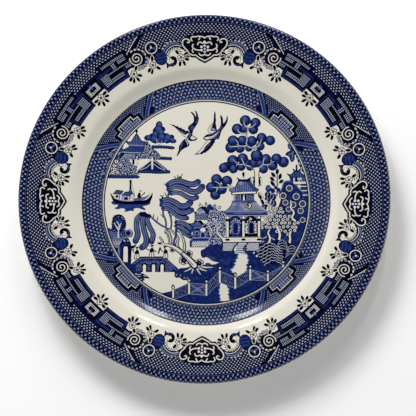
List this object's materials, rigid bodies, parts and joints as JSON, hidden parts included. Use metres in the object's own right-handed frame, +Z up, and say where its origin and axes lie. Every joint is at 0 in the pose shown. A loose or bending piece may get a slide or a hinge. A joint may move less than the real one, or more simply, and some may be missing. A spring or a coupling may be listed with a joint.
{
  "type": "dinner plate",
  "caption": "Round glazed earthenware dinner plate with a shallow well, a broad sloping rim, a foot ring and blue printed decoration under the glaze.",
  "frame": {"origin": "on the plate's axis, at the level of the foot ring's contact ring", "axes": "+Z up along the plate's axis, from the foot ring towards the face; +Y towards the top of the printed scene"},
  "size_m": [0.26, 0.26, 0.0217],
  "materials": {
    "fired_body": "matte, unglazed on the foot ring",
    "cobalt_print": "cobalt ink under the glaze",
    "face_glaze": "glossy",
    "base_glaze": "glossy"
  },
  "bodies": {
    "root": {"earthenware_body": "fired_body", "centre_scene_print": "cobalt_print", "well_border_print": "cobalt_print", "rim_border_print": "cobalt_print", "edge_band_print": "cobalt_print", "outer_glaze_coat": "face_glaze", "base_recess_glaze": "base_glaze"}
  },
  "joints": []
}
